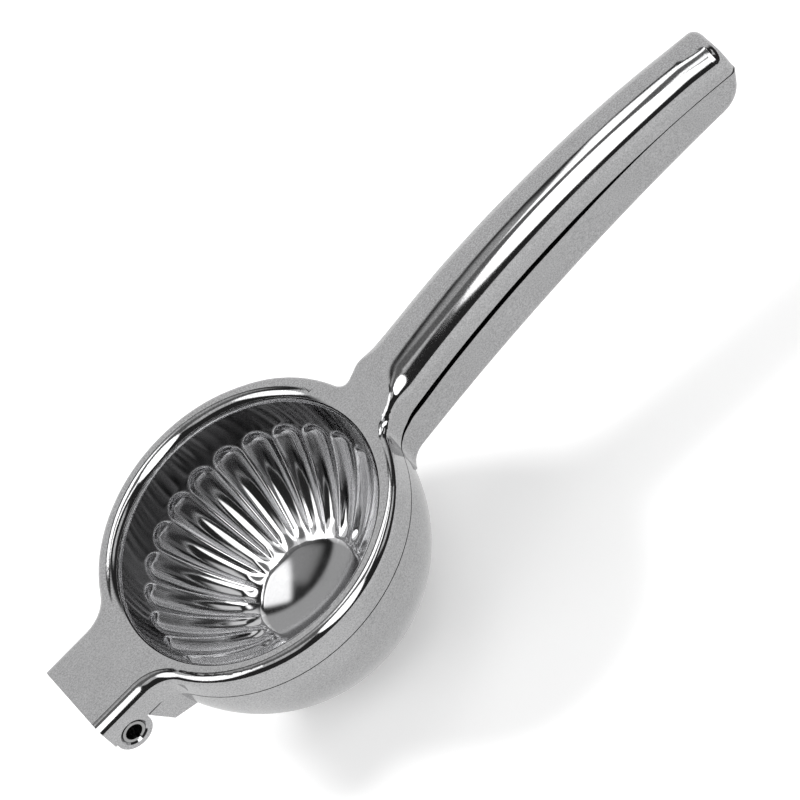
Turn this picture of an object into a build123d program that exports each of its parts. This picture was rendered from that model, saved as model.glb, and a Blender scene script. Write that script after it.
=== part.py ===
from build123d import *
from math import asin, cos, degrees, hypot, pi, sin, sqrt
import os

# Two-lever hand press for lemons, closed: a cup arm, a press arm with a fluted bowl, and a hinge pin.
# The origin is the middle of the cup's flat foot. +X runs along the handles to their tips, +Z is up
# and the hinge pin lies along Y. All sizes are in millimetres.

# Cup arm: a hemisphere with a flat foot and drain holes
foot_radius = 17.2
cup_wall = 3.0
floor_thickness = 3.0
drain_diameter = 4.0
inner_drain_count = 4
inner_drain_radius = 5.4
outer_drain_count = 8
outer_drain_radius = 12.0

# Ring of the press arm
mouth_radius = 35.0
mouth_round = 2.9
land_width = 1.0
edge_round = 1.9
ring_depth = 8.0
ring_gap = 0.3

# Nose plate over the hinge
nose_run = 17.2
nose_width = 27.0
nose_flare = 9.0

# Both handles
handle_reach = 159.0
root_width = 17.6
tip_width = 14.2
root_flare = 5.0
root_run = 0.3
handle_gap = 1.6
gap_closing = 45.0
closed_length = 18.0

# Upper handle: a crowned bar with large top rounds
crown_height = 10.9
crown_share = 0.54
crown_fall = 4.5
rise_length = 10.0
upper_depth = 8.5
upper_round = 5.2
round_growth = 9.0
upper_tip_round = 2.6

# Lower handle: a flatter belly that turns up at the tip
belly_drop = 1.6
belly_share = 0.68
belly_fall = 1.2
lower_round = 1.8
lower_tip_slant = 4.0
lower_tip_round = 7.5

# Hollows cored into the facing sides of the two handles
core_wall = 2.8
core_start = 58.0
core_end_wall = 9.0
core_corner = 3.0

# Hinge
pin_drop = 9.0
pin_diameter = 6.0
pin_wall = 0.75
pin_slot = 0.9
pin_recess = 0.2
pin_seat_gap = 0.02
pin_running_gap = 0.08
hole_break = 0.6
ear_radius = 5.0
ear_thickness = 5.0
ear_inset = 0.5
ear_gap = 0.35
knuckle_wall = 1.7
knuckle_gap = 0.5
knuckle_side_gap = 0.3
block_depth = 10.0
block_heel = 7.5
block_slant = 3.6

# Fluted press bowl
bowl_wall = 2.6
bowl_lift = 4.8
bowl_floor = 1.5
floor_sag = 2.0
dish_floor_radius = 14.0
dish_radius = 50.0
collar_width = 1.8
collar_gap = 0.03
seat_drop = 0.2
flute_count = 24
flute_share = 0.87
flute_tip_drop = 10.5
flute_ease = 0.214

# Share of a wall that a rounded edge may take up, and the margin for picking edges by their place
round_share = 0.9
pick_margin = 0.01

# Levels, radii and places that follow from the driving sizes
ring_radius = mouth_radius + mouth_round + land_width + edge_round
cup_radius = ring_radius
cup_height = sqrt(cup_radius**2 - foot_radius**2)
ring_base = cup_height + ring_gap
ring_top = ring_base + ring_depth
root_half = root_width / 2
tip_half = tip_width / 2
nose_half = nose_width / 2
flare_y = root_half + root_flare
flare_x = sqrt((ring_radius + root_flare) ** 2 - flare_y**2)
root_end = flare_x + root_run
rise_start = mouth_radius + mouth_round + land_width / 2
rise_end = rise_start + rise_length
crown_level = ring_top + crown_height
crown_x = rise_end + crown_share * (handle_reach - rise_end)
crown_radius = ((handle_reach - crown_x) ** 2 + crown_fall**2) / (2 * crown_fall)
belly_height = cup_height - belly_drop
belly_x = rise_end + belly_share * (handle_reach - rise_end)
belly_radius = ((handle_reach - belly_x) ** 2 + belly_fall**2) / (2 * belly_fall)
gap_end = handle_reach - closed_length
core_end = handle_reach - core_end_wall
across = 4 * ring_radius

nose_reach = ring_radius + nose_run
pin_x = nose_reach - ear_radius - ear_inset
pin_level = ring_top - pin_drop
pin_radius = pin_diameter / 2
hole_radius = pin_radius + pin_running_gap
knuckle_radius = pin_radius + knuckle_wall
slot_width = nose_width - 2 * ear_thickness
knuckle_width = slot_width - 2 * knuckle_side_gap
slot_reach = pin_x - knuckle_radius - knuckle_gap
slot_top = pin_level + knuckle_radius + knuckle_gap
block_reach = pin_x - ear_radius - ear_gap

cavity_radius = cup_radius - cup_wall
floor_radius = sqrt(cavity_radius**2 - (cup_height - floor_thickness) ** 2)

seat_level = ring_top - mouth_round - seat_drop
bowl_base = floor_thickness + bowl_lift
dish_floor = bowl_base + bowl_floor + floor_sag
sag_radius = (dish_floor_radius**2 + floor_sag**2) / (2 * floor_sag)
collar_radius = mouth_radius + collar_width
outer_dish_radius = dish_radius + bowl_wall
flute_radius = flute_share * pi * mouth_radius / flute_count + flute_ease


def arc_center(start, end, radius):
    """Centre of the arc from start to end that bulges away from the axis and down."""
    middle = (start + end) * 0.5
    chord = end - start
    reach = sqrt(radius**2 - chord.length**2 / 4)
    return middle + Vector(chord.Y, -chord.X).normalized() * reach


dish_edge = Vector(mouth_radius, seat_level)
dish_foot = Vector(dish_floor_radius, dish_floor)
dish_center = arc_center(dish_edge, dish_foot, dish_radius)


def arch(x, peak, peak_x, radius):
    """Height at x of a shallow arch."""
    return peak - radius + sqrt(radius**2 - (x - peak_x) ** 2)


def slope_of(line, x):
    """Slope of a long line at x."""
    return (line(x + pick_margin) - line(x - pick_margin)) / (2 * pick_margin)


def crown(x):
    """Top of the upper handle past its rise."""
    return arch(x, crown_level, crown_x, crown_radius)


def crown_under(x):
    """Underside of the upper handle past its rise."""
    return crown(x) - upper_depth


def raised(x, ring_level, line):
    """A long line of the arm: level on the ring, a smooth rise at the root, then along the handle."""
    if x <= rise_start:
        return ring_level
    if x >= rise_end:
        return line(x)
    share = (x - rise_start) / rise_length
    climb = line(rise_end) - ring_level
    end_slope = slope_of(line, rise_end) * rise_length
    return ring_level + climb * share**2 * (3 - 2 * share) + end_slope * share**2 * (share - 1)


def top_line(x):
    """Top of the press arm."""
    return raised(x, ring_top, crown)


def under_line(x):
    """Underside of the press arm."""
    return raised(x, ring_base, crown_under)


def seam_line(x):
    """Top of the cup arm, below a gap that opens past the ring and closes towards the tip."""
    opening = min(max((x - rise_start) / rise_length, 0), 1)
    closing = min(max((gap_end - x) / gap_closing, 0), 1)
    share = opening * closing**2 * (3 - 2 * closing)
    return under_line(x) - ring_gap - (handle_gap - ring_gap) * share


def belly_line(x):
    """Underside of the lower handle."""
    return arch(x, belly_height, belly_x, belly_radius)


def half_width(x):
    """Half the width of both handles."""
    return root_half + (tip_half - root_half) * (x - root_end) / (handle_reach - root_end)


def round_at(x):
    """Radius of the upper handle's top edges, which grows away from the ring."""
    share = min((x - root_end) / round_growth, 1)
    wanted = edge_round + (upper_round - edge_round) * share**2 * (3 - 2 * share)
    return min(wanted, round_share * half_width(x), round_share * upper_depth)


def stations(start, end, count):
    """Evenly spaced values with both ends."""
    return [start + (end - start) * i / (count - 1) for i in range(count)]


def long_curve(line, start, end, count=5):
    """Spline along a long line, drawn on the side plane."""
    way = 1 if end > start else -1
    tangents = [(way, way * slope_of(line, x)) for x in (start, end)]
    return Spline([(x, line(x)) for x in stations(start, end, count)], tangents=tangents)


def side_plane(y):
    """Plane that faces -Y at the given y, with its own x along X and y along Z."""
    return Plane.XZ.offset(-y)


def ring_corners(sketch, side):
    """Corners where an arm's plan leaves the ring: side is 1 at the handle and -1 at the nose."""
    on_ring = sketch.vertices().filter_by(lambda v: abs(hypot(v.X, v.Y) - ring_radius) < pick_margin)
    half = root_half if side > 0 else nose_half
    return on_ring.filter_by(lambda v: v.X * side > 0 and abs(abs(v.Y) - half) < pick_margin)


# Plan of the head: ring, nose plate and the flared root of the handle
with BuildSketch() as head_plan:
    Circle(ring_radius)
    with Locations((-nose_reach / 2, 0)):
        Rectangle(nose_reach, nose_width)
    with Locations((root_end / 2, 0)):
        Rectangle(root_end, root_width)
    fillet(ring_corners(head_plan, 1), root_flare)
    fillet(ring_corners(head_plan, -1), nose_flare)

# Plan of the handles past the root
with BuildSketch() as handle_plan:
    with BuildLine():
        Polyline(
            (root_end, -root_half),
            (handle_reach, -tip_half),
            (handle_reach, tip_half),
            (root_end, root_half),
            close=True,
        )
    make_face()

# Plan of the hollows in the handles
with BuildSketch() as core_plan:
    with BuildLine():
        core_near = half_width(core_start) - core_wall
        core_far = half_width(core_end) - core_wall
        Polyline(
            (core_start, -core_near),
            (core_end, -core_far),
            (core_end, core_far),
            (core_start, core_near),
            close=True,
        )
    make_face()
    fillet(core_plan.vertices(), core_corner)


def upper_section(x):
    """Section of the upper handle at x: square below, rounded along both top edges."""
    half = half_width(x)
    side_round = round_at(x)
    top_round = side_round * hypot(1, slope_of(top_line, x))
    top = top_line(x)
    shoulder = top - top_round
    flat = half - side_round
    with BuildSketch(Plane(origin=(x, 0, 0), x_dir=(0, 1, 0), z_dir=(1, 0, 0))) as section:
        with BuildLine():
            Polyline((-half, shoulder), (-half, under_line(x)), (half, under_line(x)), (half, shoulder))
            EllipticalCenterArc((flat, shoulder), side_round, top_round, start_angle=0, arc_size=90)
            Line((flat, top), (-flat, top))
            EllipticalCenterArc((-flat, shoulder), side_round, top_round, start_angle=90, arc_size=90)
        make_face()
    return section.sketch


# Hollow of the upper handle, up to a wall below its top
with BuildPart() as upper_core:
    extrude(core_plan.sketch, amount=crown_level)
    with BuildSketch(side_plane(across / 2)):
        with BuildLine():
            long_curve(lambda x: top_line(x) - core_wall, core_start, core_end)
            Polyline(
                (core_end, top_line(core_end) - core_wall),
                (core_end, belly_height),
                (core_start, belly_height),
                (core_start, top_line(core_start) - core_wall),
            )
        make_face()
    extrude(amount=across, mode=Mode.INTERSECT)

# Hollow of the lower handle, down to a wall above its belly
with BuildPart() as lower_core:
    extrude(core_plan.sketch, amount=crown_level)
    with BuildSketch(side_plane(across / 2)):
        with BuildLine():
            long_curve(lambda x: belly_line(x) + core_wall, core_start, core_end)
            Polyline(
                (core_end, belly_line(core_end) + core_wall),
                (core_end, crown_level),
                (core_start, crown_level),
                (core_start, belly_line(core_start) + core_wall),
            )
        make_face()
    extrude(amount=across, mode=Mode.INTERSECT)

with BuildPart() as press_arm:
    # Head, cut to its side profile and rounded along its outer top edge
    extrude(head_plan.sketch, amount=crown_level)
    with BuildSketch(side_plane(across / 2)):
        with BuildLine():
            Polyline(
                (rise_start, ring_base),
                (-nose_reach, ring_base),
                (-nose_reach, ring_top),
                (rise_start, ring_top),
            )
            long_curve(top_line, rise_start, root_end)
            Line((root_end, top_line(root_end)), (root_end, under_line(root_end)))
            long_curve(under_line, root_end, rise_start)
        make_face()
    extrude(amount=across, mode=Mode.INTERSECT)
    head_top = press_arm.edges().filter_by(lambda e: e.center().Z > ring_top - pick_margin)
    fillet(head_top.filter_by(Axis.Y, reverse=True), edge_round)

    # Handle, through sections whose top rounds grow away from the ring
    root_face = press_arm.faces().sort_by(Axis.X)[-1]
    section_places = stations(root_end, root_end + round_growth, 6)[1:]
    section_places += stations(root_end + round_growth, handle_reach, 6)[1:]
    loft([root_face] + [upper_section(x) for x in section_places])
    tip_edges = press_arm.edges().filter_by(lambda e: e.center().X > handle_reach - pick_margin)
    tip_edges = tip_edges.filter_by(lambda e: e.center().Z > under_line(handle_reach) + pick_margin)
    fillet(tip_edges, upper_tip_round)
    add(upper_core.part, mode=Mode.SUBTRACT)

    # Mouth with its rolled edge, and the seat for the bowl's collar from below
    with BuildSketch(Plane.XY.offset(ring_base)):
        Circle(mouth_radius)
    extrude(amount=ring_depth, mode=Mode.SUBTRACT)
    mouth_edges = press_arm.edges().filter_by(GeomType.CIRCLE)
    mouth_edges = mouth_edges.filter_by(lambda e: abs(e.radius - mouth_radius) < pick_margin)
    fillet(mouth_edges.sort_by(Axis.Z)[-1], mouth_round)
    with BuildSketch(Plane.XY.offset(ring_base)):
        Circle(collar_radius + collar_gap)
    extrude(amount=seat_level - ring_base, mode=Mode.SUBTRACT)

    # Ears on both sides of the nose, with room between them for the knuckle
    with BuildSketch(side_plane(nose_half)):
        with Locations((-pin_x, pin_level)):
            Circle(ear_radius)
            Rectangle(2 * ear_radius, ring_base - pin_level, align=(Align.CENTER, Align.MIN))
    extrude(amount=nose_width)
    with BuildSketch(side_plane(slot_width / 2)):
        with Locations((-slot_reach, slot_top)):
            Rectangle(nose_reach, crown_level, align=(Align.MAX, Align.MAX))
    extrude(amount=slot_width, mode=Mode.SUBTRACT)
    with BuildSketch(side_plane(nose_half)):
        with Locations((-pin_x, pin_level)):
            Circle(hole_radius)
    extrude(amount=nose_width, mode=Mode.SUBTRACT)
    hole_edges = press_arm.edges().filter_by(GeomType.CIRCLE)
    hole_edges = hole_edges.filter_by(lambda e: abs(e.radius - hole_radius) < pick_margin)
    chamfer(hole_edges.filter_by(lambda e: abs(e.center().Y) > nose_half - pick_margin), hole_break)

os.makedirs("parts", exist_ok=True)
press_arm.part.label = "press_arm"
export_step(press_arm.part, "parts/press_arm.step")


def bar_center(angle):
    """Centre of a flute's round bar at an angle about the wall's centre, where it spans the flute."""
    half_flute = flute_share * pi * (dish_center.X + dish_radius * cos(angle)) / flute_count
    reach = dish_radius - sqrt(flute_radius**2 - half_flute**2)
    return (dish_center.X + reach * cos(angle), 0, dish_center.Y + reach * sin(angle))


# One flute: a round bar that sinks into the dish wall towards the rim and ends there in a ball
tip_angle = asin((ring_top - flute_tip_drop - dish_center.Y) / dish_radius)
ball_angle = tip_angle - flute_radius / dish_radius
floor_angle = asin((dish_floor - dish_center.Y) / dish_radius)
with BuildPart() as flute_bar:
    with BuildLine() as bar_line:
        bar_ends = [bar_center(angle) for angle in stations(ball_angle, floor_angle, 3)]
        ThreePointArc(*bar_ends)
    with BuildSketch(bar_line.line ^ 0):
        Circle(flute_radius)
    sweep()
    with Locations(bar_ends[0]):
        Sphere(flute_radius)


def outer_wall_radius(level):
    """Radius of the bowl's outer wall at a level."""
    return dish_center.X + sqrt(outer_dish_radius**2 - (level - dish_center.Y) ** 2)


with BuildPart() as press_bowl:
    # Outside: collar, wall and floor
    with BuildSketch(Plane.XZ):
        with BuildLine():
            Polyline(
                (outer_wall_radius(ring_base), ring_base),
                (collar_radius, ring_base),
                (collar_radius, seat_level),
                (0, seat_level),
                (0, bowl_base),
                (outer_wall_radius(bowl_base), bowl_base),
            )
            RadiusArc(
                (outer_wall_radius(bowl_base), bowl_base),
                (outer_wall_radius(ring_base), ring_base),
                -outer_dish_radius,
            )
        make_face()
    revolve(axis=Axis.Z)

    # Inside: the dish with its hollow floor, then the flutes pressed into its wall
    with BuildSketch(Plane.XZ):
        with BuildLine():
            Polyline(
                (mouth_radius, seat_level),
                (mouth_radius, ring_top),
                (0, ring_top),
                (0, dish_floor - floor_sag),
            )
            sag_angle = degrees(asin(dish_floor_radius / sag_radius))
            CenterArc((0, dish_floor - floor_sag + sag_radius), sag_radius, -90, sag_angle)
            RadiusArc((dish_floor_radius, dish_floor), (mouth_radius, seat_level), -dish_radius)
        make_face()
    revolve(axis=Axis.Z, mode=Mode.SUBTRACT)
    with PolarLocations(0, flute_count):
        add(flute_bar.part, mode=Mode.SUBTRACT)

press_bowl.part.label = "press_bowl"
export_step(press_bowl.part, "parts/press_bowl.step")

# Lower handle with its flared root, rounded along the belly and up round the tip
with BuildPart() as lower_handle:
    with BuildSketch():
        add(head_plan.sketch)
        add(handle_plan.sketch)
        flare_width = 2 * flare_y * ring_radius / (ring_radius + root_flare)
        with Locations((mouth_radius, 0)):
            Rectangle(handle_reach, flare_width, align=(Align.MIN, Align.CENTER), mode=Mode.INTERSECT)
    extrude(amount=crown_level)
    with BuildSketch(side_plane(across / 2)) as lower_side:
        with BuildLine():
            Line((mouth_radius, cup_height), (rise_start, cup_height))
            long_curve(seam_line, rise_start, rise_end)
            long_curve(seam_line, rise_end, handle_reach, 12)
            belly_end = handle_reach - lower_tip_slant
            Line((handle_reach, seam_line(handle_reach)), (belly_end, belly_line(belly_end)))
            long_curve(belly_line, belly_end, mouth_radius)
            Line((mouth_radius, belly_line(mouth_radius)), (mouth_radius, cup_height))
        make_face()
        tip_wall = seam_line(handle_reach) - belly_line(belly_end)
        tip_corner = lower_side.vertices().filter_by(lambda v: v.X > belly_end - pick_margin)
        fillet(tip_corner.sort_by(Axis.Y)[0], min(lower_tip_round, round_share * tip_wall))
    extrude(amount=across, mode=Mode.INTERSECT)
    belly_faces = lower_handle.faces().filter_by(lambda f: f.normal_at().Z < -pick_margin)
    fillet(belly_faces.edges().filter_by(Axis.Y, reverse=True), lower_round)
    add(lower_core.part, mode=Mode.SUBTRACT)

with BuildPart() as cup_arm:
    # Hemisphere with a flat foot, the handle, the block and the knuckle that holds the pin
    with BuildSketch(Plane.XZ):
        with BuildLine():
            foot_angle = degrees(asin(cup_height / cup_radius))
            Polyline((foot_radius, 0), (0, 0), (0, cup_height), (cup_radius, cup_height))
            CenterArc((0, cup_height), cup_radius, -foot_angle, foot_angle)
        make_face()
    revolve(axis=Axis.Z)
    add(lower_handle.part)
    with BuildSketch(side_plane(nose_half)):
        with BuildLine():
            Polyline(
                (-block_reach, cup_height),
                (-block_reach + block_slant, cup_height - block_heel),
                (-mouth_radius, cup_height - block_depth),
                (-mouth_radius, cup_height),
                close=True,
            )
        make_face()
    extrude(amount=nose_width)
    with BuildSketch(side_plane(knuckle_width / 2)):
        with Locations((-pin_x, pin_level)):
            Circle(knuckle_radius)
        with BuildLine():
            Polyline(
                (-pin_x, cup_height),
                (-pin_x, pin_level - knuckle_radius),
                (-mouth_radius, pin_level - knuckle_radius),
                (-mouth_radius, cup_height),
                close=True,
            )
        make_face()
    extrude(amount=knuckle_width)
    with BuildSketch(side_plane(knuckle_width / 2)):
        with Locations((-pin_x, pin_level)):
            Circle(pin_radius + pin_seat_gap)
    extrude(amount=knuckle_width, mode=Mode.SUBTRACT)

    # Cavity with a flat floor, and the drain holes through it
    with BuildSketch(Plane.XZ):
        with BuildLine():
            cavity_angle = degrees(asin((cup_height - floor_thickness) / cavity_radius))
            Polyline((floor_radius, floor_thickness), (0, floor_thickness), (0, ring_top))
            Polyline((0, ring_top), (cavity_radius, ring_top), (cavity_radius, cup_height))
            CenterArc((0, cup_height), cavity_radius, -cavity_angle, cavity_angle)
        make_face()
    revolve(axis=Axis.Z, mode=Mode.SUBTRACT)
    with BuildSketch():
        with PolarLocations(inner_drain_radius, inner_drain_count):
            Circle(drain_diameter / 2)
        with PolarLocations(outer_drain_radius, outer_drain_count):
            Circle(drain_diameter / 2)
    extrude(amount=floor_thickness, mode=Mode.SUBTRACT)

cup_arm.part.label = "cup_arm"
export_step(cup_arm.part, "parts/cup_arm.step")

with BuildPart() as hinge_pin:
    # Rolled spring pin: a tube with an open seam that faces down
    pin_length = nose_width - 2 * pin_recess
    with BuildSketch(side_plane(pin_length / 2)):
        with Locations((-pin_x, pin_level)):
            Circle(pin_radius)
            Circle(pin_radius - pin_wall, mode=Mode.SUBTRACT)
            Rectangle(pin_slot, pin_diameter, align=(Align.CENTER, Align.MAX), mode=Mode.SUBTRACT)
    extrude(amount=pin_length)

hinge_pin.part.label = "hinge_pin"
export_step(hinge_pin.part, "parts/hinge_pin.step")
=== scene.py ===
# %% [markdown]
# # A two-lever lemon squeezer in polished metal
# The real tool is four pieces: a lower arm with a round cup, an upper arm with a ring, a fluted bowl
# set into that ring, and one pin through the hinge. Half a lemon goes between cup and bowl, and the
# handles squeeze it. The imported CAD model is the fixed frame, so the lesson starts by loading it.
# Everything is in metres, and the middle of the cup's foot is the origin.

# %% Load the frame
import math

import bpy
import numpy as np
from mathutils import Matrix, Vector


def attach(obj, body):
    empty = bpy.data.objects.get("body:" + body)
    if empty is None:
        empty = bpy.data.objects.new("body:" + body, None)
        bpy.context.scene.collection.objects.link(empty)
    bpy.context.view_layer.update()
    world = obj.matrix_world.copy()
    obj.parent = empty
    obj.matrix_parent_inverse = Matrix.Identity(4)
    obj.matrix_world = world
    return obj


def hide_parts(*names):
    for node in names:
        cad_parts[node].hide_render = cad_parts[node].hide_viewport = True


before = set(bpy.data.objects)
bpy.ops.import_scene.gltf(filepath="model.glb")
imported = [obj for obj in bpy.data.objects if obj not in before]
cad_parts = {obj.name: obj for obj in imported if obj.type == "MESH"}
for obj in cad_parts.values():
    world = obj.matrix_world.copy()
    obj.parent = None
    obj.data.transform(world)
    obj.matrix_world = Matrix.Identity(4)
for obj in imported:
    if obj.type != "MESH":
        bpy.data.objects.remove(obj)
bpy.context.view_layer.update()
scene = bpy.context.scene
scene.view_settings.view_transform = "Standard"
print("pieces:", sorted(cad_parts))

# %% [markdown]
# ## Camera
# The photograph looks down into the bowl from the side, with a long lens that keeps parallel edges
# almost parallel, and the tool lies across the picture with its handle up to the right. A camera could
# be set by eye, but here its height, its roll and the scale in pixels per millimetre were measured, so
# the lens follows from the distance. The roll turns the picture about the line of sight.

# %% Camera
PICTURE_SIDE = 800
PIXELS_PER_MM = 4.24
SENSOR_WIDTH = 36
NEAREST, FARTHEST = 0.05, 50
view_target = Vector((0.0474, -0.0070, 0.0453))
view_elevation = math.radians(48.6)
view_roll = math.radians(45.2)
view_distance = 1.420

to_camera = Vector((0, -math.cos(view_elevation), math.sin(view_elevation)))
level_right = Vector((1, 0, 0))
level_up = to_camera.cross(level_right)
camera_right = math.cos(view_roll) * level_right - math.sin(view_roll) * level_up
camera_up = math.sin(view_roll) * level_right + math.cos(view_roll) * level_up

camera_data = bpy.data.cameras.new("camera")
camera_data.sensor_width = SENSOR_WIDTH
camera_data.lens = SENSOR_WIDTH * PIXELS_PER_MM * view_distance * 1000 / PICTURE_SIDE
camera_data.clip_start = NEAREST
camera_data.clip_end = FARTHEST
camera = bpy.data.objects.new("camera", camera_data)
scene.collection.objects.link(camera)
camera_turn = Matrix((camera_right, camera_up, to_camera)).transposed().to_4x4()
camera.matrix_world = Matrix.Translation(view_target + to_camera * view_distance) @ camera_turn
scene.camera = camera
print("lens in mm:", round(camera_data.lens, 1))

# %% [markdown]
# ## The polished skin of the upper handle
# The upper handle is a long crowned bar with a wide round along each top edge. On the real tool a
# polishing wheel runs along it, so a reflection flows down the round in one unbroken stripe. The CAD
# mesh has the right shape, but its small faces were laid through a row of sections, and in a mirror
# finish the least change of slope from face to face breaks the stripe into ripples. More faces would
# not help. Instead the faces stay, and each corner on the handle gets the slope of the ideal surface,
# worked out from the handle's own lines. The next cell writes these lines down, in millimetres.

# %% Lines of the upper handle
RING_RADIUS = 40.8
RING_TOP = 45.3
EDGE_ROUND = 1.9
HANDLE_REACH = 159.0
ROOT_HALF = 8.8
TIP_HALF = 7.1
ROOT_FLARE = 5.0
FLARE_CLEAR = 0.3
RISE_START = 38.4
RISE_LENGTH = 10.0
CROWN_HEIGHT = 10.9
CROWN_SHARE = 0.54
CROWN_FALL = 4.5
HANDLE_ROUND = 5.2
ROUND_GROWTH = 9.0

rise_end = RISE_START + RISE_LENGTH
root_end = math.sqrt((RING_RADIUS + ROOT_FLARE) ** 2 - (ROOT_HALF + ROOT_FLARE) ** 2) + FLARE_CLEAR
crown_x = rise_end + CROWN_SHARE * (HANDLE_REACH - rise_end)
crown_radius = ((HANDLE_REACH - crown_x) ** 2 + CROWN_FALL**2) / (2 * CROWN_FALL)


def smooth(share):
    share = np.clip(share, 0, 1)
    return share**2 * (3 - 2 * share)


def crown_line(x):
    return RING_TOP + CROWN_HEIGHT - crown_radius + np.sqrt(crown_radius**2 - (x - crown_x) ** 2)


def handle_top(x):
    share = np.clip((x - RISE_START) / RISE_LENGTH, 0, 1)
    end_slope = (crown_x - rise_end) / math.sqrt(crown_radius**2 - (rise_end - crown_x) ** 2)
    climb = crown_line(rise_end) - RING_TOP
    rise = RING_TOP + climb * smooth(share) + end_slope * RISE_LENGTH * share**2 * (share - 1)
    return np.where(x >= rise_end, crown_line(x), rise)


def handle_half(x):
    return ROOT_HALF + (TIP_HALF - ROOT_HALF) * (x - root_end) / (HANDLE_REACH - root_end)


def handle_round(x):
    return EDGE_ROUND + (HANDLE_ROUND - EDGE_ROUND) * smooth((x - root_end) / ROUND_GROWTH)


print("crown of the handle at x =", round(crown_x, 1), "mm, radius", round(crown_radius), "mm")

# %% [markdown]
# ## Slope of the ideal handle
# A surface can be written as a function that is zero on it, negative inside and positive outside. The
# direction in which such a function grows fastest is the surface's normal. This one is a bar with
# straight sides, a crowned top and a quarter round between them. Blender could average the normals of
# neighbouring faces, but that only spreads each ripple, so they are worked out from the function.

# %% Normals of the ideal handle
SLOPE_STEP = 0.002


def handle_skin(points):
    x, y, z = points[:, 0], np.abs(points[:, 1]), points[:, 2]
    round_y = handle_round(x)
    slope = (handle_top(x + SLOPE_STEP) - handle_top(x - SLOPE_STEP)) / (2 * SLOPE_STEP)
    round_z = round_y * np.sqrt(1 + slope**2)
    across = (y - handle_half(x) + round_y) / round_y
    up = (z - handle_top(x) + round_z) / round_z
    on_round = (np.hypot(np.maximum(across, 0), np.maximum(up, 0)) - 1) * round_y
    flat = np.where(across > 0, y - handle_half(x), z - handle_top(x))
    return np.where((across > 0) & (up > 0), on_round, flat)


def skin_normals(points):
    slopes = np.empty_like(points)
    for axis in range(3):
        step = np.zeros(3)
        step[axis] = SLOPE_STEP
        slopes[:, axis] = handle_skin(points + step) - handle_skin(points - step)
    return slopes / np.linalg.norm(slopes, axis=1, keepdims=True)


rise_point = np.array([[rise_end, 0.0, float(crown_line(rise_end))]])
print("normal where the handle's rise ends:", skin_normals(rise_point)[0].round(3).tolist())

# %% [markdown]
# ## Crown across the handle
# A polishing wheel never leaves a top quite flat across: it takes a little more off near each round.
# The amount is far too small to see in the outline, but it draws the dark stripe beside the bright one.
# It could be modelled, but a lean of the normals, which grows towards each round, gives the same
# reflections and leaves the outline alone.

# %% Crowned normals
TIP_ROUND = 2.6
CROWN_TILT = math.radians(10)


def crowned(points, normals):
    x, y = points[:, 0], points[:, 1]
    from_ends = np.minimum(x - root_end, HANDLE_REACH - TIP_ROUND - x)
    tilt = CROWN_TILT * smooth(from_ends / ROUND_GROWTH)
    lean = np.arctan2(normals[:, 1], normals[:, 2])
    across = np.clip(y / (handle_half(x) - handle_round(x)), -1, 1)
    lean += tilt * (across - lean / (math.pi / 2))
    steep = np.hypot(normals[:, 1], normals[:, 2])
    return np.column_stack([normals[:, 0], steep * np.sin(lean), steep * np.cos(lean)])


print("most lean of the top in degrees:", round(math.degrees(CROWN_TILT)))

# %% [markdown]
# ## A copy of the press arm
# The press arm is one casting: ring, nose plate with the hinge ears, and upper handle. It could be
# modelled a second time, but its CAD mesh already has the right shape, so only its skin is made better.
# The CAD node itself is never changed. Its corners, faces and normals are read into arrays, in
# millimetres where lengths are compared, and a new mesh is made from them at the end.

# %% Read the press arm
TINY = 1e-12


def mesh_arrays(mesh):
    places = np.empty(len(mesh.vertices) * 3)
    mesh.vertices.foreach_get("co", places)
    corner_vertex = np.empty(len(mesh.loops), dtype=int)
    mesh.loops.foreach_get("vertex_index", corner_vertex)
    normals = np.empty(len(mesh.loops) * 3)
    mesh.corner_normals.foreach_get("vector", normals)
    return places.reshape(-1, 3), corner_vertex.reshape(-1, 3), normals.reshape(-1, 3, 3)


def face_normals(points):
    across = np.cross(points[:, 1] - points[:, 0], points[:, 2] - points[:, 0])
    return across / np.maximum(np.linalg.norm(across, axis=1, keepdims=True), TINY)


arm_places, arm_faces, arm_normals = mesh_arrays(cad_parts["press_arm"].data)
face_points = arm_places[arm_faces] * 1000
corner_points = face_points.reshape(-1, 3)
flat_normals = face_normals(face_points)
print("press arm faces:", len(arm_faces))

# %% [markdown]
# ## Handle faces
# Not every face near the handle belongs to its polished top: the underside and the root of the ring
# are close by. They could be picked by hand, but a rule finds them again after any change of size. A
# face belongs when all its corners lie on the ideal surface and it points much the same way.

# %% Handle faces
SKIN_REACH = 0.2
SKIN_AGREES = math.cos(math.radians(20))
ROOT_SLACK = 0.001


def agree(wanted, flat):
    return ((wanted * flat[:, None]).sum(axis=2) > SKIN_AGREES).all(axis=1)


ideal_normals = skin_normals(corner_points)
near_skin = np.abs(handle_skin(corner_points)).reshape(-1, 3).max(axis=1) < SKIN_REACH
past_root = (face_points[:, :, 0] > root_end - ROOT_SLACK).all(axis=1)
before_tip = (face_points[:, :, 0] < HANDLE_REACH - TIP_ROUND).all(axis=1)
on_handle = near_skin & past_root & before_tip & agree(ideal_normals.reshape(-1, 3, 3), flat_normals)
arm_normals[on_handle] = crowned(corner_points, ideal_normals).reshape(-1, 3, 3)[on_handle]
print("handle faces:", int(on_handle.sum()))

# %% [markdown]
# ## Rolled mouth and flat top
# The mouth of the ring is rolled over to a round section, so that the bowl drops in without a sharp
# edge, and the top of ring and nose is ground flat. The roll could be a torus of its own, but the CAD
# mesh has it already. Its faces take the normals of a true ring of round section, and the flat top
# points straight up, so both mirror the studio without a ripple.

# %% Rolled mouth and flat top
ROLL_RADIUS = 2.9
ROLL_MIDDLE = 37.9
ROLL_REACH = 0.05
FLAT_REACH = 0.004


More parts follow.
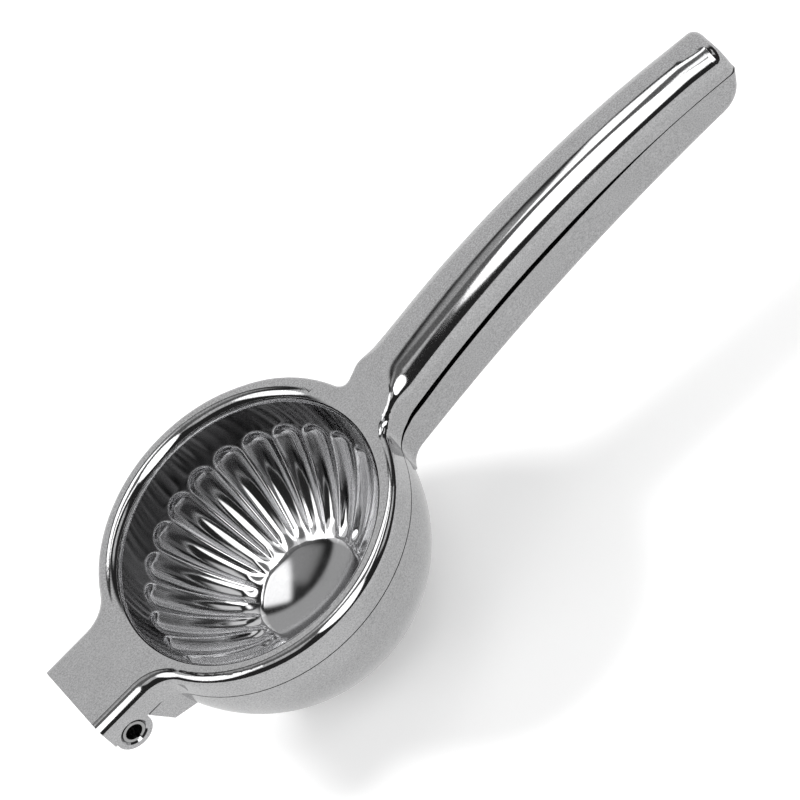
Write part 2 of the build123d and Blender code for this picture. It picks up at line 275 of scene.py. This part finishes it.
def roll_normals(points):
    outward = points[:, :2] / np.linalg.norm(points[:, :2], axis=1, keepdims=True)
    level = np.full(len(points), RING_TOP - ROLL_RADIUS)
    away = points - np.column_stack([outward * ROLL_MIDDLE, level])
    distance = np.linalg.norm(away, axis=1)
    return np.abs(distance - ROLL_RADIUS), away / distance[:, None]


roll_miss, ideal_roll = roll_normals(corner_points)
ideal_roll = ideal_roll.reshape(-1, 3, 3)
on_roll = (roll_miss.reshape(-1, 3).max(axis=1) < ROLL_REACH) & agree(ideal_roll, flat_normals)
arm_normals[on_roll] = ideal_roll[on_roll]
on_flat = (np.abs(face_points[:, :, 2] - RING_TOP) < FLAT_REACH).all(axis=1)
arm_normals[on_flat] = (0, 0, 1)
print("roll faces:", int(on_roll.sum()), "flat faces:", int(on_flat.sum()))

# %% [markdown]
# ## Wider outer edge
# The outer edge of the ring and the nose is rounder on the real tool than in the CAD model, most of all
# on the nose. A bevel would have to be cut into finished faces. The edge's rows of corners already lie
# on a quarter circle, so moving each one away from the sharp corner by the same share makes a larger
# quarter circle. The copy is only cut back by this, so it stays inside the CAD shape.

# %% Wider edge
NOSE_GROWTH = 0.75
RING_GROWTH = 0.35
NECK_START = -46.0
NECK_LENGTH = 16.0
EDGE_END = 33.0
EDGE_FADE = 12.0
SPOT_DIGITS = 4


def corner_angles(points):
    one, two = np.roll(points, -1, axis=1) - points, np.roll(points, 1, axis=1) - points
    sizes = np.linalg.norm(one, axis=2) * np.linalg.norm(two, axis=2)
    return np.arccos(np.clip((one * two).sum(axis=2) / np.maximum(sizes, TINY), -1, 1))


def way_out(points, faces, normals):
    spots, shared = np.unique(np.round(points, SPOT_DIGITS), axis=0, return_inverse=True)
    shared = shared.reshape(-1)
    level = normals[:, :2] / np.linalg.norm(normals[:, :2], axis=1, keepdims=True)
    pull = corner_angles(points[faces])[:, :, None] * level[:, None]
    outward = np.zeros((len(spots), 2))
    np.add.at(outward, shared[faces].reshape(-1), pull.reshape(-1, 2))
    length = np.linalg.norm(outward, axis=1, keepdims=True)
    return spots, shared, outward / np.maximum(length, TINY), length[:, 0] > 0


def wider_edge(points, faces, normals):
    spots, shared, outward, on_edge_spot = way_out(points, faces, normals)
    below = np.clip(RING_TOP - spots[:, 2], 0, EDGE_ROUND)
    upright = 1 - below / EDGE_ROUND
    sideways = np.sqrt(1 - upright**2)
    along_neck = smooth((spots[:, 0] - NECK_START) / NECK_LENGTH)
    growth = NOSE_GROWTH + (RING_GROWTH - NOSE_GROWTH) * along_neck
    growth *= smooth((EDGE_END - spots[:, 0]) / EDGE_FADE)
    inward = growth * EDGE_ROUND * (1 - sideways)
    moved = np.column_stack([-outward * inward[:, None], -growth * below])
    moved[~on_edge_spot] = 0
    return moved[shared], np.column_stack([outward * sideways[:, None], upright])[shared]


print("edge round on the nose in mm:", round(EDGE_ROUND * (1 + NOSE_GROWTH), 2))

# %% [markdown]
# The faces of the edge are those in its height that are neither handle, roll nor flat top, and that
# face at least a little upwards. The last line measures whether any face was turned over by the move:
# a folded face would show as a black speck.

# %% Edge faces
EDGE_LEAST_SLOPE = 0.02
TURNED_BELOW = 0.5

in_edge_height = (face_points[:, :, 2] > RING_TOP - EDGE_ROUND - ROLL_REACH).all(axis=1)
before_handle = (face_points[:, :, 0] < EDGE_END).all(axis=1)
plan_radius = np.hypot(face_points[:, :, 0], face_points[:, :, 1])
outside_roll = (plan_radius > ROLL_MIDDLE + ROLL_REACH).all(axis=1)
on_edge = in_edge_height & before_handle & outside_roll & (flat_normals[:, 2] > EDGE_LEAST_SLOPE)
on_edge &= ~(on_roll | on_flat | on_handle)
edge_moves, edge_normals = wider_edge(arm_places * 1000, arm_faces[on_edge], flat_normals[on_edge])
arm_normals[on_edge] = edge_normals[arm_faces[on_edge]]
arm_places += edge_moves / 1000
still_agree = (face_normals(arm_places[arm_faces] * 1000) * flat_normals).sum(axis=1)
print("edge faces:", int(on_edge.sum()), "turned over:", int((still_agree < TURNED_BELOW).sum()))

# %% [markdown]
# ## Press arm with smooth reflections
# The new mesh is one closed skin: corners that lie on one spot are joined, and faces that shrink to a
# line by that are left out. It takes the normals found above, rides on the press body and stands in
# for the CAD node of the press arm.

# %% Press arm
JOIN_DIGITS = 7


def joined_copy(name, places, faces, normals):
    spots = np.round(places, JOIN_DIGITS)
    _, first, shared = np.unique(spots, axis=0, return_index=True, return_inverse=True)
    faces = shared.reshape(-1)[faces]
    whole = (faces != np.roll(faces, -1, axis=1)).all(axis=1)
    mesh = bpy.data.meshes.new(name)
    mesh.from_pydata(places[first].tolist(), [], faces[whole].tolist())
    mesh.normals_split_custom_set(normals[whole].reshape(-1, 3).tolist())
    return mesh


arm_mesh = joined_copy("press_arm", arm_places, arm_faces, arm_normals)
press_arm = bpy.data.objects.new("press_arm_polished", arm_mesh)
scene.collection.objects.link(press_arm)
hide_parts("press_arm")
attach(press_arm, "press")
print("faces in the closed skin:", len(arm_mesh.polygons))

# %% [markdown]
# ## The fluted bowl
# The bowl is the piece that shows: a deep dish with a hollow floor, and 24 flutes that fan out from the
# floor to rounded ends below the rim. In the mould each flute was a tapered finger. A flute could be cut
# by a boolean, but its edge would be knife-sharp and its faces uneven, and a mirror finish shows both.
# So the dish is laid out as a grid of rings, from the middle of the floor up the wall, over the collar
# that sits in the ring, and down the outside. Every ring has the same number of points, and the wall's
# points are pushed outwards where a flute is. The next cell has the bowl's lines, in millimetres.

# %% Lines of the bowl
SEAT_LEVEL = 42.2
COLLAR_RADIUS = 36.8
COLLAR_BASE = 37.3
DISH_RADIUS = 50.0
DISH_CENTRE = (-13.87, 52.84)
BOWL_WALL = 2.6
BOWL_BASE = 7.8
FLOOR_RADIUS = 14.0
FLOOR_MIDDLE = 9.3
FLOOR_SAG_RADIUS = 50.0
FLUTE_COUNT = 24
FLUTE_SHARE = 0.93
FLUTE_TOP = 34.9
FLUTE_DEPTH = 0.33
FLUTE_CURVE = 2.4
FLUTE_RUN_OUT = 5.0
RIDGE_SOFT = 0.16


def wall_radius(level, thickness=0.0):
    return DISH_CENTRE[0] + math.sqrt((DISH_RADIUS + thickness) ** 2 - (level - DISH_CENTRE[1]) ** 2)


def from_flute(turn, radius, drop):
    pitch = 2 * math.pi / FLUTE_COUNT
    off = (turn + pitch / 2) % pitch - pitch / 2
    half = FLUTE_SHARE * pitch / 2 * radius
    return half, np.hypot(off * radius, np.maximum(half - drop, 0)) / half


def flute_depth(half, out, above_floor):
    inside = 1 - out**FLUTE_CURVE
    depth = FLUTE_DEPTH * half * (inside + np.sqrt(inside**2 + RIDGE_SOFT**2)) / 2
    return depth * smooth(above_floor / FLUTE_RUN_OUT)


print("wall radius at the flute ends:", round(wall_radius(FLUTE_TOP), 1), "mm")

# %% [markdown]
# ## Painted shade and highlights on the bowl's wall
# Under the rim the wall looks dark, and the feet and lips of the flutes look bright. The mirrored
# studio gives only part of that, so the rest is painted into the colour: painted shade on the band under
# the rim, and painted highlights on the feet and lips, one value for each point. A painted picture would
# need a map over the dish. A value at each point needs none: it is kept with the mesh, and the bowl's
# finish reads it later.

# %% Painted shade and highlights on the wall
BAND_PAINTED_SHADE = 0.78
BAND_START = 0.9
BAND_BLEND = 0.2
BAND_FADE = 14.0
LIP_PAINTED_HIGHLIGHT = 0.9
LIP_WIDTH = 0.09
FOOT_PAINTED_HIGHLIGHT = 0.9
FOOT_FADE = 24.0
PAINTED_LIGHT_MOST = 2.4


# Painted shade darkens the band under the rim, and painted highlights lighten the lips and feet of the
# flutes.
def wall_painted_light(out, drop, above_floor):
    band = smooth((out - BAND_START) / BAND_BLEND) * smooth(1 - drop / BAND_FADE)
    lip = np.exp(-(((out - 1) / LIP_WIDTH) ** 2))
    foot = smooth(1 - above_floor / FOOT_FADE)
    return np.minimum(1 - BAND_PAINTED_SHADE * band + LIP_PAINTED_HIGHLIGHT * lip + FOOT_PAINTED_HIGHLIGHT * foot, PAINTED_LIGHT_MOST)


print("shade in the dark band:", round(1 - BAND_PAINTED_SHADE, 2))

# %% [markdown]
# ## Rings of the bowl
# On the real bowl floor, wall, collar and outside run into each other in one casting. A lathe tool
# could turn one outline round, but the flutes make every spoke differ. So each ring is a row of radii
# and heights, one per spoke. On the wall, both move along the way out of the metal by the flute's depth.

# %% Rings of the bowl
SPOKES_PER_FLUTE = 30
FLOOR_RINGS = 14
WALL_RINGS = 90
OUTER_RINGS = 24

spokes = FLUTE_COUNT * SPOKES_PER_FLUTE
turns = np.arange(spokes) * 2 * math.pi / spokes
rings, painted_light_rows = [], []


def level_ring(radius, level):
    rings.append((np.full(spokes, radius), np.full(spokes, level)))


for radius in np.linspace(0, FLOOR_RADIUS, FLOOR_RINGS + 1)[1:-1]:
    level_ring(radius, FLOOR_MIDDLE + FLOOR_SAG_RADIUS - math.sqrt(FLOOR_SAG_RADIUS**2 - radius**2))
first_wall_ring = len(rings)
floor_angle = -math.acos((FLOOR_RADIUS - DISH_CENTRE[0]) / DISH_RADIUS)
rim_angle = math.asin((SEAT_LEVEL - DISH_CENTRE[1]) / DISH_RADIUS)
top_angle = math.asin((FLUTE_TOP - DISH_CENTRE[1]) / DISH_RADIUS)
for angle in np.linspace(floor_angle, rim_angle, WALL_RINGS):
    radius = DISH_CENTRE[0] + DISH_RADIUS * math.cos(angle)
    level = DISH_CENTRE[1] + DISH_RADIUS * math.sin(angle)
    drop, above_floor = (top_angle - angle) * DISH_RADIUS, (angle - floor_angle) * DISH_RADIUS
    half, out = from_flute(turns, radius, drop)
    depth = flute_depth(half, out, above_floor)
    rings.append((radius + depth * math.cos(angle), level + depth * math.sin(angle)))
    # Each wall ring keeps its painted shade and highlights as well.
    painted_light_rows.append(wall_painted_light(out, drop, above_floor))
level_ring(COLLAR_RADIUS, SEAT_LEVEL)
level_ring(COLLAR_RADIUS, COLLAR_BASE)
for level in np.linspace(COLLAR_BASE, BOWL_BASE, OUTER_RINGS):
    level_ring(wall_radius(level, BOWL_WALL), level)
print("rings:", len(rings), "of", spokes, "points")

# %% [markdown]
# ## Skin of the bowl
# Faces between each ring and the next, and a fan of triangles at the middle of the floor and of the
# base, close the skin. It is shaded smooth, and only edges steeper than a set angle, such as those of
# the collar, stay sharp. The painted shade and highlights of each wall point go in as an attribute.

# %% Bowl mesh
SHARP_ANGLE = math.radians(30)

points = [(0, 0, FLOOR_MIDDLE)]
for radius, level in rings:
    points += zip(radius * np.cos(turns), radius * np.sin(turns), level)
points.append((0, 0, BOWL_BASE))
last = 1 + (len(rings) - 1) * spokes
faces = []
for spoke in range(spokes):
    after = (spoke + 1) % spokes
    faces.append((0, 1 + spoke, 1 + after))
    for ring in range(len(rings) - 1):
        low, high = 1 + ring * spokes, 1 + (ring + 1) * spokes
        faces.append((low + spoke, high + spoke, high + after, low + after))
    faces.append((last + spoke, len(points) - 1, last + after))
bowl_mesh = bpy.data.meshes.new("press_bowl")
bowl_mesh.from_pydata([tuple(c / 1000 for c in point) for point in points], [], faces)
bowl_mesh.polygons.foreach_set("use_smooth", [True] * len(bowl_mesh.polygons))
bowl_mesh.set_sharp_from_angle(angle=SHARP_ANGLE)
# The wall's painted shade and highlights are kept as a point attribute, and 1 elsewhere.
point_painted_light = np.ones(len(points))
first_wall = 1 + first_wall_ring * spokes
point_painted_light[first_wall:first_wall + WALL_RINGS * spokes] = np.concatenate(painted_light_rows)
bowl_mesh.attributes.new("painted_shade_highlight", "FLOAT", "POINT").data.foreach_set("value", point_painted_light)
press_bowl = bpy.data.objects.new("press_bowl_fluted", bowl_mesh)
scene.collection.objects.link(press_bowl)
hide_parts("press_bowl")
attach(press_bowl, "press")
print("bowl faces:", len(bowl_mesh.polygons))

# %% [markdown]
# ## A small kit for shader nodes
# The finishes and the studio are drawn with nodes. Wiring each node by hand takes many lines, so a few
# helpers do it: one adds a node with its settings, one gives a socket a value or a link, and the others
# add a sum or product, a ramp that rises smoothly from 0 to 1, and a noise.

# %% Node helpers
def node(tree, kind, **settings):
    made = tree.nodes.new(kind)
    for key, value in settings.items():
        setattr(made, key, value)
    return made


def feed(tree, socket, value):
    if isinstance(value, bpy.types.NodeSocket):
        tree.links.new(value, socket)
    else:
        socket.default_value = value


def math_node(tree, operation, *inputs):
    made = node(tree, "ShaderNodeMath", operation=operation)
    for socket, value in zip(made.inputs, inputs):
        feed(tree, socket, value)
    return made.outputs[0]


def ramp(tree, value, low, high, start=0.0, end=1.0):
    made = node(tree, "ShaderNodeMapRange", interpolation_type="SMOOTHSTEP")
    settings = {"Value": value, "From Min": low, "From Max": high, "To Min": start, "To Max": end}
    for name, setting in settings.items():
        feed(tree, made.inputs[name], setting)
    return made.outputs["Result"]


def noise(tree, place, scale, detail=2.0, rough=0.5):
    made = node(tree, "ShaderNodeTexNoise")
    feed(tree, made.inputs["Vector"], place)
    made.inputs["Scale"].default_value = scale
    made.inputs["Detail"].default_value = detail
    made.inputs["Roughness"].default_value = rough
    return made.outputs["Fac"]


print("helpers ready")

# %% [markdown]
# ## Groups for shared effects
# The castings share their grain and their polish, only in different strengths. The nodes could be
# repeated in every material, but one group with inputs keeps a change in one place. Two more helpers
# make an empty group with its sockets, and place a group in a material.

# %% Group helpers
def new_group(name, inputs, outputs):
    group = bpy.data.node_groups.new(name, "ShaderNodeTree")
    for title, default in inputs.items():
        socket = group.interface.new_socket(title, in_out="INPUT", socket_type="NodeSocketFloat")
        socket.default_value = default
    for title in outputs:
        group.interface.new_socket(title, in_out="OUTPUT", socket_type="NodeSocketFloat")
    entry = node(group, "NodeGroupInput")
    leave = node(group, "NodeGroupOutput")
    return group, entry.outputs, leave.inputs


def place_group(tree, group, values):
    made = node(tree, "ShaderNodeGroup", node_tree=group)
    for title, value in values.items():
        made.inputs[title].default_value = value
    return made.outputs


print("group helpers ready")

# %% [markdown]
# ## Grain of the casting
# The arms and the bowl are cast, then ground and polished. Polishing takes the skin down, but a fine
# grain stays in the metal, and a few pin-holes where gas was trapped. Both show on the flat tops as a
# light speckle and a handful of dark dots. Every finish here uses the effect, so it is one node group
# with its own strengths: a shade that varies a little about 1, a mask of pin-holes and a height for
# bump. The noise sits on object coordinates, so it is fixed to the metal at its real size.

# %% Cast grain group
GRAIN_SCALE = 2600
CLOUD_SCALE = 160
CLOUD_SHARE = 0.1
NOISE_MIDDLE = 0.5
PIT_SCALE = 120
PIT_CHOICE = 0.9
PIT_OUTSIDE, PIT_INSIDE = 0.035, 0.02

grain_outputs = ("Shade", "Pin-hole", "Height")
cast_grain, given, result = new_group("cast_grain", {"Grain": 0.1, "Pin-holes": 0.5}, grain_outputs)
where = node(cast_grain, "ShaderNodeTexCoord").outputs["Object"]
speckle = noise(cast_grain, where, GRAIN_SCALE, detail=3.0, rough=0.6)
swing = math_node(cast_grain, "SUBTRACT", speckle, NOISE_MIDDLE)
cloud_noise = noise(cast_grain, where, CLOUD_SCALE, detail=3.0)
cloud = math_node(cast_grain, "SUBTRACT", cloud_noise, NOISE_MIDDLE)
both_scales = math_node(cast_grain, "MULTIPLY_ADD", cloud, CLOUD_SHARE, swing)
change = math_node(cast_grain, "MULTIPLY", both_scales, given["Grain"])
feed(cast_grain, result["Shade"], math_node(cast_grain, "ADD", change, 1.0))
cells = node(cast_grain, "ShaderNodeTexVoronoi")
feed(cast_grain, cells.inputs["Vector"], where)
cells.inputs["Scale"].default_value = PIT_SCALE
chosen = node(cast_grain, "ShaderNodeSeparateColor")
feed(cast_grain, chosen.inputs[0], cells.outputs["Color"])
few = math_node(cast_grain, "GREATER_THAN", chosen.outputs[0], PIT_CHOICE)
near_centre = ramp(cast_grain, cells.outputs["Distance"], PIT_OUTSIDE, PIT_INSIDE)
dot = math_node(cast_grain, "MULTIPLY", near_centre, few)
pin_hole = math_node(cast_grain, "MULTIPLY", dot, given["Pin-holes"])
feed(cast_grain, result["Pin-hole"], pin_hole)
feed(cast_grain, result["Height"], math_node(cast_grain, "SUBTRACT", speckle, pin_hole))
print("group:", cast_grain.name, "with", len(cast_grain.nodes), "nodes")

# %% [markdown]
# ## Marks of the polishing wheel
# A wheel leaves hair-fine lines along its travel, and hands and washing leave a faint haze. Neither
# changes the colour, but both change how sharp a reflection is, so the group puts out a roughness that
# varies between a clean value and a hazy one. The lines are noise that is squeezed across the travel:
# along X on the arms, round the middle in the bowl.

# %% Polish group
HAIR_STRETCH = 0.02
HAIR_SCALE = 2200
HAIR_SHARE = 0.5
HAZE_SCALE = 70
HAZE_LOW, HAZE_HIGH = 0.42, 0.68

polish_inputs = {"Clean": 0.05, "Hazy": 0.12, "Round": 0.0}
polish, given, result = new_group("polish_marks", polish_inputs, ("Roughness",))
where = node(polish, "ShaderNodeTexCoord").outputs["Object"]
parts = node(polish, "ShaderNodeSeparateXYZ")
feed(polish, parts.inputs[0], where)
x_squared = math_node(polish, "POWER", parts.outputs["X"], 2.0)
y_squared = math_node(polish, "POWER", parts.outputs["Y"], 2.0)
from_middle = math_node(polish, "SQRT", math_node(polish, "ADD", x_squared, y_squared))
side = node(polish, "ShaderNodeMix", data_type="FLOAT")
feed(polish, side.inputs[0], given["Round"])
feed(polish, side.inputs[2], parts.outputs["Y"])
feed(polish, side.inputs[3], from_middle)
travel = node(polish, "ShaderNodeCombineXYZ")
feed(polish, travel.inputs[0], math_node(polish, "MULTIPLY", parts.outputs["X"], HAIR_STRETCH))
feed(polish, travel.inputs[1], side.outputs[0])
feed(polish, travel.inputs[2], parts.outputs["Z"])
hairlines = noise(polish, travel.outputs[0], HAIR_SCALE)
haze = ramp(polish, noise(polish, where, HAZE_SCALE, detail=4.0, rough=0.6), HAZE_LOW, HAZE_HIGH)
wear = math_node(polish, "MULTIPLY_ADD", hairlines, HAIR_SHARE, haze)
spread = math_node(polish, "SUBTRACT", given["Hazy"], given["Clean"])
dulled = math_node(polish, "MULTIPLY", spread, wear)
feed(polish, result["Roughness"], math_node(polish, "ADD", given["Clean"], dulled))
print("group:", polish.name, "with", len(polish.nodes), "nodes")

# %% [markdown]
# ## Finishes
# Polished steel mirrors about half of the light that falls on it, a little more in the blue. The press
# arm is polished bright, the cup arm is softer because its outside gets less polish, the inside of the
# bowl is somewhat darker, and the rolled pin is plain brushed steel. Each could have a material of its
# own, but then a change would have to be made four times. So all four come from one function, a metal
# shader with the two groups: the shade on the colour, the marks on the roughness, and the grain as a
# very shallow bump. Only the bowl, polished round its middle, also reads the painted shade and painted
# highlights kept with its mesh.

# %% Metal finishes
FINISHES = {
    "cup_steel": dict(colour=(0.50, 0.50, 0.505), grain=1.2, pits=0.5,
                      clean=0.13, hazy=0.2, turned=0.0, bump=0.05),
    "arm_steel": dict(colour=(0.50, 0.50, 0.505), grain=1.2, pits=0.8,
                      clean=0.045, hazy=0.1, turned=0.0, bump=0.03),
    "bowl_steel": dict(colour=(0.38, 0.38, 0.385), grain=0.25, pits=0.0,
                       clean=0.065, hazy=0.12, turned=1.0, bump=0.004),
    "pin_steel": dict(colour=(0.42, 0.42, 0.42), grain=0.2, pits=0.0,
                      clean=0.2, hazy=0.32, turned=0.0, bump=0.05),
}
PIT_SHADE = 0.12
GRAIN_DEPTH = 0.00002


def metal_finish(name, colour, grain, pits, clean, hazy, turned, bump):
    material = bpy.data.materials.new(name)
    material.use_nodes = True
    tree = material.node_tree
    shader = tree.nodes["Principled BSDF"]
    shader.inputs["Metallic"].default_value = 1
    cast = place_group(tree, cast_grain, {"Grain": grain, "Pin-holes": pits})
    marks = place_group(tree, polish, {"Clean": clean, "Hazy": hazy, "Round": turned})
    pit_cut = math_node(tree, "MULTIPLY_ADD", cast["Pin-hole"], PIT_SHADE - 1, 1.0)
    shade = math_node(tree, "MULTIPLY", cast["Shade"], pit_cut)
    # The bowl's colour is also scaled by the painted shade and highlights kept with its mesh.
    if turned:
        painted_shade_highlight = node(tree, "ShaderNodeAttribute", attribute_name="painted_shade_highlight").outputs["Fac"]
        shade = math_node(tree, "MULTIPLY", shade, painted_shade_highlight)
    tint = node(tree, "ShaderNodeVectorMath", operation="SCALE")
    tint.inputs[0].default_value = colour
    feed(tree, tint.inputs["Scale"], shade)
    feed(tree, shader.inputs["Base Color"], tint.outputs[0])
    feed(tree, shader.inputs["Roughness"], marks["Roughness"])
    relief = node(tree, "ShaderNodeBump")
    relief.inputs["Strength"].default_value = bump
    relief.inputs["Distance"].default_value = GRAIN_DEPTH
    feed(tree, relief.inputs["Height"], cast["Height"])
    feed(tree, shader.inputs["Normal"], relief.outputs["Normal"])
    return material


finishes = {name: metal_finish(name, **values) for name, values in FINISHES.items()}
wearers = {
    "cup_steel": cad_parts["cup_arm"],
    "pin_steel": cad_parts["hinge_pin"],
    "arm_steel": press_arm,
    "bowl_steel": press_bowl,
}
for finish, piece in wearers.items():
    piece.data.materials.clear()
    piece.data.materials.append(finishes[finish])
print("finishes:", {piece.name: finish for finish, piece in wearers.items()})

# %% [markdown]
# ## Studio
# A mirror has no look of its own: it shows the room. What makes this metal read as bright steel is a
# pale wall behind the tool, one tall umbrella light beside the camera, a light to the left, a few
# smaller cards, and dark room between them. Real lamps and cards could be set up as objects, but they
# would have to stay out of every view. Drawing them on the world keeps them out of the way. Each is
# given by its direction in degrees, azimuth from +X towards +Y and elevation above the horizon, and by
# its half width and half height in degrees as well.

# %% Shapes of light
world = bpy.data.worlds.new("studio")
scene.world = world
world.use_nodes = True
studio = world.node_tree
studio.nodes.clear()
looking = node(studio, "ShaderNodeTexCoord").outputs["Generated"]


def degrees_of(operation, *inputs):
    return math_node(studio, "MULTIPLY", math_node(studio, operation, *inputs), 180 / math.pi)


def angles_from(azimuth, elevation):
    turned = node(studio, "ShaderNodeVectorRotate", rotation_type="Z_AXIS")
    turned.inputs["Angle"].default_value = -math.radians(azimuth)
    feed(studio, turned.inputs["Vector"], looking)
    tilted = node(studio, "ShaderNodeVectorRotate", rotation_type="Y_AXIS")
    tilted.inputs["Angle"].default_value = math.radians(elevation)
    feed(studio, tilted.inputs["Vector"], turned.outputs[0])
    parts = node(studio, "ShaderNodeSeparateXYZ")
    feed(studio, parts.inputs[0], tilted.outputs[0])
    across = degrees_of("ARCTAN2", parts.outputs["Y"], parts.outputs["X"])
    return across, degrees_of("ARCSINE", parts.outputs["Z"])


def within(angle, half, soft):
    return ramp(studio, math_node(studio, "ABSOLUTE", angle), half + soft, half - soft)


def share_squared(angle, half):
    share = math_node(studio, "DIVIDE", math_node(studio, "ABSOLUTE", angle), half)
    return math_node(studio, "POWER", share, 2.0)


def card(azimuth, elevation, half_width, half_height, strength, soft_sides, soft_ends):
    across, up = angles_from(azimuth, elevation)
    in_width = within(across, half_width, soft_sides)
    lit = math_node(studio, "MULTIPLY", in_width, within(up, half_height, soft_ends))
    return math_node(studio, "MULTIPLY", lit, strength)


def umbrella(azimuth, elevation, half_width, half_height, strength, soft):
    across, up = angles_from(azimuth, elevation)
    wide = share_squared(across, half_width)
    out = math_node(studio, "SQRT", math_node(studio, "ADD", wide, share_squared(up, half_height)))
    return ramp(studio, out, 1 + soft, 1 - soft, 0.0, strength)


print("light shapes: card, umbrella")

# %% [markdown]
# The big lights come first: they make the pale and dark halves of the ring, the stripe down the handle
# and the bright side of the flutes. The small cards fill in single patches. The ceiling lifts the parts
# that face straight up. Where the camera looks past the floor it sees plain white, as in the photograph.

# %% Studio lights on the world
ROOM_LEVEL = 0.03
CEILING_LEVEL = 0.15
CEILING_START, CEILING_FULL = 55, 70

lights = {
    "pale wall behind": card(
        92, 7, half_width=66, half_height=46.5, strength=0.72, soft_sides=8, soft_ends=1.5),
    "tall umbrella by the camera": umbrella(
        -81, 50, half_width=15, half_height=31, strength=2.6, soft=0.06),
    "umbrella on the left": umbrella(
        180, 40, half_width=16, half_height=21, strength=2.2, soft=0.15),
    "thin strip high on the right": card(
        -15, 63.5, half_width=20, half_height=3.5, strength=2.2, soft_sides=3, soft_ends=1.5),
    "dim card on the right": card(
        -20, 37, half_width=16, half_height=8, strength=0.8, soft_sides=4, soft_ends=3),
    "bright card high behind": card(
        57, 70, half_width=10, half_height=12, strength=2.4, soft_sides=2, soft_ends=2),
    "faint card high behind": card(
        112, 70, half_width=10, half_height=10, strength=0.35, soft_sides=3, soft_ends=3),
    "dim card in front, left": card(
        -140, 55, half_width=14, half_height=10, strength=0.7, soft_sides=4, soft_ends=3),
}
height_angle = angles_from(0, 0)[1]
ceiling = ROOM_LEVEL + CEILING_LEVEL
glow = ramp(studio, height_angle, CEILING_START, CEILING_FULL, ROOM_LEVEL, ceiling)
for light in lights.values():
    glow = math_node(studio, "ADD", glow, light)

path = node(studio, "ShaderNodeLightPath")
open_rays = (path.outputs["Is Camera Ray"], path.outputs["Is Transmission Ray"])
seen = node(studio, "ShaderNodeMix", data_type="FLOAT")
feed(studio, seen.inputs[0], math_node(studio, "MAXIMUM", *open_rays))
feed(studio, seen.inputs[2], glow)
seen.inputs[3].default_value = 1
background = node(studio, "ShaderNodeBackground")
feed(studio, background.inputs["Strength"], seen.outputs[0])
background.inputs["Color"].default_value = (1, 1, 1, 1)
feed(studio, node(studio, "ShaderNodeOutputWorld").inputs[0], background.outputs[0])
print("studio lights:", list(lights))

# %% [markdown]
# ## Shadow lamp
# The photograph has a soft shadow to the right of the tool. The world alone gives hardly any, because
# light from all round fills it in. One round lamp behind and to the left casts it. Its own reflection
# would be a spot that the photograph lacks, so the metal doesn't show it.

# %% Shadow lamp
LAMP_SIZE = 0.75
LAMP_WATTS = 62
LAMP_PLACE = (-1.375, 1.625, 1.875)
LAMP_AIM = Vector((0.05, 0, 0))

lamp_data = bpy.data.lights.new("shadow_lamp", "AREA")
lamp_data.shape = "DISK"
lamp_data.size = LAMP_SIZE
lamp_data.energy = LAMP_WATTS
lamp = bpy.data.objects.new("shadow_lamp", lamp_data)
scene.collection.objects.link(lamp)
lamp.location = LAMP_PLACE
aim = LAMP_AIM - lamp.location
lamp.rotation_euler = aim.to_track_quat("-Z", "Y").to_euler()
lamp.visible_glossy = False
print("lamp distance in m:", round(aim.length, 2))

# %% [markdown]
# ## Floor
# A sheet of pale paper, far larger than the view. Paper lit by the lamp alone would come out grey, so
# it glows a little where the camera looks at it, which lifts it to white and leaves the shadow in
# place. The metal sees the same paper with a fainter shadow, so that the sides stay an even grey. The
# glow never lights the tool as a lamp would.

# %% Paper floor
FLOOR_HALF = 3.0
PAPER_COLOUR = 0.8
PAPER_GLOW = 0.30
METAL_GLOW = 0.62
METAL_SHADOW = 0.23

floor_signs = ((-1, -1), (1, -1), (1, 1), (-1, 1))
corners = [(x * FLOOR_HALF, y * FLOOR_HALF, 0) for x, y in floor_signs]
floor_mesh = bpy.data.meshes.new("floor")
floor_mesh.from_pydata(corners, [], [(0, 1, 2, 3)])
floor = bpy.data.objects.new("floor", floor_mesh)
scene.collection.objects.link(floor)
paper = bpy.data.materials.new("floor_paper")
paper.use_nodes = True
sheet = paper.node_tree
shader = sheet.nodes["Principled BSDF"]
shader.inputs["Specular IOR Level"].default_value = 0
path = node(sheet, "ShaderNodeLightPath")
metal_rays = (path.outputs["Is Glossy Ray"], path.outputs["Is Transmission Ray"])
in_metal = math_node(sheet, "MAXIMUM", *metal_rays)
dimming = PAPER_COLOUR * (METAL_SHADOW - 1)
paper_shade = math_node(sheet, "MULTIPLY_ADD", in_metal, dimming, PAPER_COLOUR)
feed(sheet, shader.inputs["Base Color"], paper_shade)
straight = math_node(sheet, "MULTIPLY", path.outputs["Is Camera Ray"], PAPER_GLOW)
paper_glow = node(sheet, "ShaderNodeEmission")
glow_strength = math_node(sheet, "MULTIPLY_ADD", in_metal, METAL_GLOW, straight)
feed(sheet, paper_glow.inputs["Strength"], glow_strength)
lit_paper = node(sheet, "ShaderNodeAddShader")
feed(sheet, lit_paper.inputs[0], shader.outputs[0])
feed(sheet, lit_paper.inputs[1], paper_glow.outputs[0])
feed(sheet, sheet.nodes["Material Output"].inputs[0], lit_paper.outputs[0])
floor_mesh.materials.append(paper)
print("floor side in m:", 2 * FLOOR_HALF)
